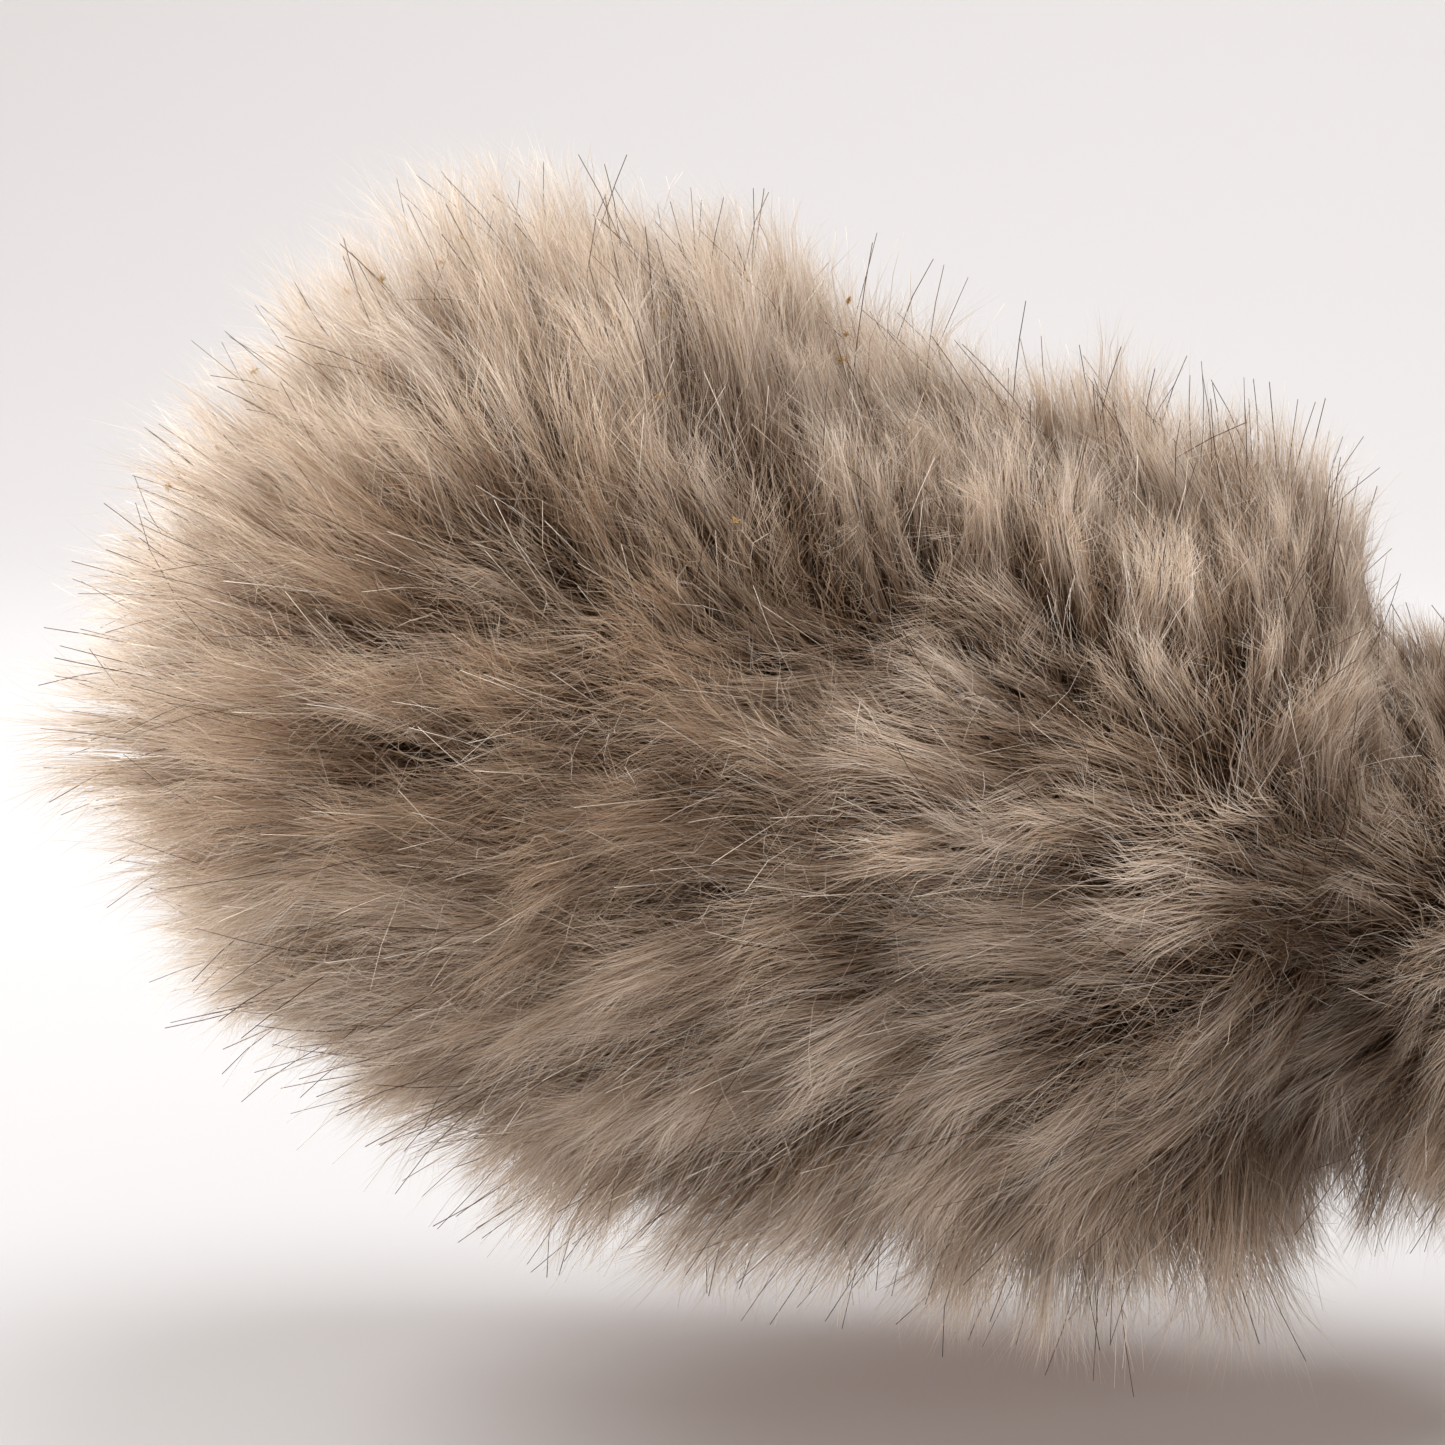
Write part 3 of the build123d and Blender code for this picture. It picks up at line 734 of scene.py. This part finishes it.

# %% [markdown]
# A panel's entry is its stretch of the line, its stretch of the angle, and its seed. Each panel's
# cloth and pile go on the windscreen's body, and its flat area is printed beside the size that it
# is cut to.

# %% Every panel
QUARTER = math.pi / 2
BODY = (PATCH_EDGE, NECK)
PANELS = {
    "gore_top_left": (BODY, (0, QUARTER), 11),
    "gore_top_right": (BODY, (QUARTER, 2 * QUARTER), 12),
    "gore_bottom_right": (BODY, (2 * QUARTER, 3 * QUARTER), 13),
    "gore_bottom_left": (BODY, (3 * QUARTER, 4 * QUARTER), 14),
    "nose_patch": ((0.0, PATCH_EDGE), (0, 4 * QUARTER), 15),
    "neck_frill": ((NECK, LINE_END), (0, 4 * QUARTER), 16),
}
COUNTS = {
    "gore": {"under": 14000, "over": 21300, "frizz": 3000},
    "nose_patch": {"under": 4500, "over": 8000, "frizz": 1200},
    "neck_frill": {"under": 7500, "over": 13000, "frizz": 1500},
}
KNIT = {"gore": (64, 24), "nose_patch": (14, 64), "neck_frill": (18, 72)}
CUT_WIDTH = {"gore": 0.0590, "nose_patch": 0.0500, "neck_frill": 0.1380}
PATCH_LENGTH = 0.0510

for panel, (along_range, angle_range, seed) in PANELS.items():
    kind = "gore" if panel.startswith("gore") else panel
    cloth = backing("cloth_" + panel, along_range, angle_range, KNIT[kind])
    hair = coat("pile_" + panel, seed, along_range, angle_range, COUNTS[kind])
    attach(cloth, "windscreen")
    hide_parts(panel)
    # The cloth wears the pile's finish and has no hairs' map, so it shows the dark root colour:
    # painted shade under the coat.
    cloth.data.materials.append(pile_finish)
    for piece in hair:
        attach(piece, "windscreen")
    flat_area = cloth_area(along_range, angle_range) * MM ** 2
    length = (along_range[1] - along_range[0]) * MM
    width = CUT_WIDTH[kind]
    if kind == "nose_patch":
        length = PATCH_LENGTH
    min(flat_area, width * length)
    print(panel, "flat area", round(flat_area * 1e4, 1), "cm2 of",
          round(width * length * 1e4, 1))

# %% [markdown]
# ## Guard hairs
# Stiff hairs stand out of the pile all over the cover. Most are nearly black and blunt, and the
# rest are pale and finer. They lean as the pile does, with much more difference from hair to
# hair.

# %% Guard hairs
def guard_hairs(name, seed, count, tone_range, length_range, thick):
    rng = np.random.default_rng(seed)
    count //= THIN
    along, angle = scatter(count, (0.0, LINE_END), (0, 2 * math.pi), rng)
    length = (lengths_at(along, angle) + 2.0) * rng.uniform(*length_range, count)
    turn, lift = rng.normal(0, 0.38, count), rng.normal(0.02, 0.24, count)
    path = grow(along, angle, length, turn, lift, 0.06, POINTS, rng, wander=0.34)
    width = rng.uniform(thick * 0.8, thick * 1.2, count)
    hair = round_hairs(name, path, width, rng.uniform(*tone_range, count))
    hair.data.materials.append(guard_finish)
    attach(hair, "windscreen")
    print(name, count, "hairs")


guard_hairs("guard_hairs_dark", 21, 1300, (0.0, 0.75), (0.78, 1.12), 0.135)
guard_hairs("guard_hairs_pale", 22, 1600, (0.95, 1.0), (0.8, 1.12), 0.085)

# %% [markdown]
# Bits of straw and lint that the pile picks up sit in its upper half. Each is a tight little curl
# of a few short fibres, so they are grown as very short, very curly round hairs, and moved out to
# where the tips of the pile are.

# %% Lint in the pile
rng = np.random.default_rng(31)
knots, fibres, fibre_points = 26, 9, 7
along, angle = scatter(knots, (26.0, 90.0), (0.25 * math.pi, 0.85 * math.pi), rng)
place, outward = on_cloth(along, angle)
still = np.zeros(knots)
heart = place + comb(place, outward, still, still) * rng.uniform(15, 20, knots)[:, None]
steps = rng.normal(0, 1, (knots * fibres, fibre_points, 3))
steps[:, 1:] = 0.55 * steps[:, :-1] + 0.45 * steps[:, 1:]
curl = np.cumsum(unit(steps) * rng.uniform(0.16, 0.34, (knots * fibres, 1, 1)), axis=1)
curl = curl - curl.mean(axis=1, keepdims=True) + np.repeat(heart, fibres, axis=0)[:, None, :]
thickness = rng.uniform(0.07, 0.13, knots * fibres)
lint = round_hairs("lint", curl, thickness, rng.uniform(0.1, 0.95, knots * fibres))
lint_finish = hair_finish("straw_lint", (0.45, 0.28, 0.11), [
    (0.0, (0.32, 0.19, 0.07)), (0.4, (0.50, 0.31, 0.12)), (0.8, (0.66, 0.46, 0.22)),
    (1.0, (0.78, 0.63, 0.42))], 0.15)
lint.data.materials.append(lint_finish)
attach(lint, "windscreen")
print("lint:", knots, "knots")

# %% [markdown]
# ## Finishes for the hard parts
# The nodes from the CAD model keep their shapes. Moulded plastic has a fine sparked texture and
# slightly worn, paler edges, rubber is duller and softer, and machined metal has turning marks
# round its axis. All these patterns read Object coordinates, in metres, so a scale of 1000 is one
# repeat in a millimetre.

# %% Moulded plastic, rubber and foam
def moulded(name, dark, light, roughness, grain_size, depth, mottle=12.0):
    finish = Finish(name)
    where = finish.add("ShaderNodeTexCoord", out="Object")
    cloud = finish.add("ShaderNodeTexNoise", inputs={
        "Vector": where, "Scale": 1000.0 / mottle, "Detail": 4.0, "Roughness": 0.6})
    grain = finish.add("ShaderNodeTexNoise", inputs={
        "Vector": where, "Scale": 1000.0 / grain_size, "Detail": 3.0, "Roughness": 0.6})
    edge = finish.add("ShaderNodeNewGeometry", out="Pointiness")
    worn = finish.add("ShaderNodeMapRange", inputs={
        "Value": edge, "From Min": 0.52, "From Max": 0.62, "To Min": 0.0, "To Max": 0.6})
    tone = cloud * 0.7 + grain * 0.3 + worn
    colour = finish.add("ShaderNodeValToRGB", {"stops": [(0.3, dark), (0.75, light)]},
                        {"Fac": tone})
    rough = finish.add("ShaderNodeMapRange", inputs={
        "Value": cloud, "From Min": 0.3, "From Max": 0.7,
        "To Min": roughness - 0.08, "To Max": roughness + 0.08})
    bump = finish.add("ShaderNodeBump", inputs={
        "Height": grain, "Strength": 0.6, "Distance": depth * MM})
    return finish.surface(finish.add("ShaderNodeBsdfPrincipled", inputs={
        "Base Color": colour, "Roughness": rough, "Normal": bump}))


def woven(name, warp, weft, pitch, depth):
    """Cloth whose threads run round the X axis and along it."""
    finish = Finish(name)
    where = finish.add("ShaderNodeTexCoord", out="Object")
    parts = finish.add("ShaderNodeSeparateXYZ", inputs={"Vector": where})
    angle = finish.maths_of("ARCTAN2", parts.output("Z"), parts.output("Y"))
    along_thread = finish.maths_of("SINE", parts * (2000 * math.pi / pitch), 0.0)
    threads_round = round(2 * math.pi * round(HEM_RADIUS) / pitch)
    round_thread = finish.maths_of("SINE", angle * threads_round, 0.0)
    shade = along_thread * round_thread * 0.5 + 0.5
    fuzz = finish.add("ShaderNodeTexNoise", inputs={"Vector": where, "Scale": 900.0, "Detail": 3.0})
    colour = finish.add("ShaderNodeValToRGB", {"stops": [(0.2, warp), (0.8, weft)]},
                        {"Fac": shade * 0.7 + fuzz * 0.3})
    bump = finish.add("ShaderNodeBump", inputs={
        "Height": shade + fuzz * 0.5, "Strength": 0.8, "Distance": depth * MM})
    return finish.surface(finish.add("ShaderNodeBsdfPrincipled", inputs={
        "Base Color": colour, "Roughness": 0.85, "Sheen Weight": 0.3, "Sheen Roughness": 0.5,
        "Normal": bump}))


def turned_metal(name, dark, light, roughness, metallic):
    finish = Finish(name)
    where = finish.add("ShaderNodeTexCoord", out="Object")
    parts = finish.add("ShaderNodeSeparateXYZ", inputs={"Vector": where})
    marks = finish.add("ShaderNodeTexNoise", {"noise_dimensions": "1D"},
                       {"W": parts * 6000.0, "Detail": 3.0})
    cloud = finish.add("ShaderNodeTexNoise", inputs={
        "Vector": where, "Scale": 120.0, "Detail": 3.0})
    edge = finish.add("ShaderNodeNewGeometry", out="Pointiness")
    worn = finish.add("ShaderNodeMapRange", inputs={
        "Value": edge, "From Min": 0.52, "From Max": 0.6, "To Min": 0.0, "To Max": 0.7})
    colour = finish.add("ShaderNodeValToRGB", {"stops": [(0.3, dark), (0.9, light)]},
                        {"Fac": cloud * 0.5 + marks * 0.2 + worn})
    rough = marks * 0.16 + cloud * 0.1 + (roughness - 0.13)
    bump = finish.add("ShaderNodeBump", inputs={
        "Height": marks, "Strength": 0.25, "Distance": 0.02 * MM})
    return finish.surface(finish.add("ShaderNodeBsdfPrincipled", inputs={
        "Base Color": colour, "Metallic": metallic, "Roughness": rough, "Normal": bump}))


print("hard finishes ready")

# %% [markdown]
# Dark colour, pale colour, roughness, and then the size and depth of the pattern in millimetres.
# The colours are near black, as most such parts are. The washer is left in its natural colour.

# %% Give each node its finish
plastic = moulded("moulded_plastic", (0.018, 0.018, 0.02), (0.05, 0.05, 0.054), 0.5, 0.35, 0.03)
smooth_plastic = moulded("smooth_plastic", (0.015, 0.015, 0.017), (0.04, 0.04, 0.043),
                         0.36, 0.5, 0.012)
rubber = moulded("grip_rubber", (0.012, 0.012, 0.012), (0.035, 0.034, 0.033), 0.78, 0.3, 0.03)
foam = moulded("gasket_foam", (0.02, 0.02, 0.021), (0.07, 0.07, 0.072), 0.9, 0.6, 0.12)
washer_plastic = moulded("washer_plastic", (0.55, 0.53, 0.49), (0.72, 0.70, 0.66),
                         0.4, 0.6, 0.01)
mesh_cloth = woven("mesh_lining", (0.012, 0.012, 0.013), (0.06, 0.06, 0.063), 0.9, 0.08)
tape_cloth = woven("hem_tape", (0.045, 0.04, 0.036), (0.12, 0.11, 0.10), 0.7, 0.10)
elastic_cloth = woven("hem_elastic", (0.05, 0.05, 0.05), (0.16, 0.16, 0.16), 1.1, 0.14)
nut_metal = turned_metal("nut_metal", (0.03, 0.03, 0.032), (0.20, 0.20, 0.21), 0.36, 0.9)
steel = turned_metal("screw_steel", (0.28, 0.28, 0.29), (0.62, 0.62, 0.63), 0.3, 1.0)
FINISHES = {
    "front_basket": plastic, "rear_basket": plastic,
    "front_ring": smooth_plastic, "rear_ring": smooth_plastic, "ring_gasket": foam,
    "front_mesh": mesh_cloth, "rear_mesh": mesh_cloth,
    "collar": smooth_plastic, "collar_gasket": foam, "collar_screws": steel,
    "mic_grip": rubber, "thrust_washer": washer_plastic, "clamp_nut": nut_metal,
    "seam_tapes": tape_cloth, "hem_channel": tape_cloth, "hem_elastic": elastic_cloth,
    "hem_binding": tape_cloth,
}
for node, finish in FINISHES.items():
    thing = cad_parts[node]
    for slot in thing.material_slots:
        slot.material = finish
    print(node, "->", finish.name)
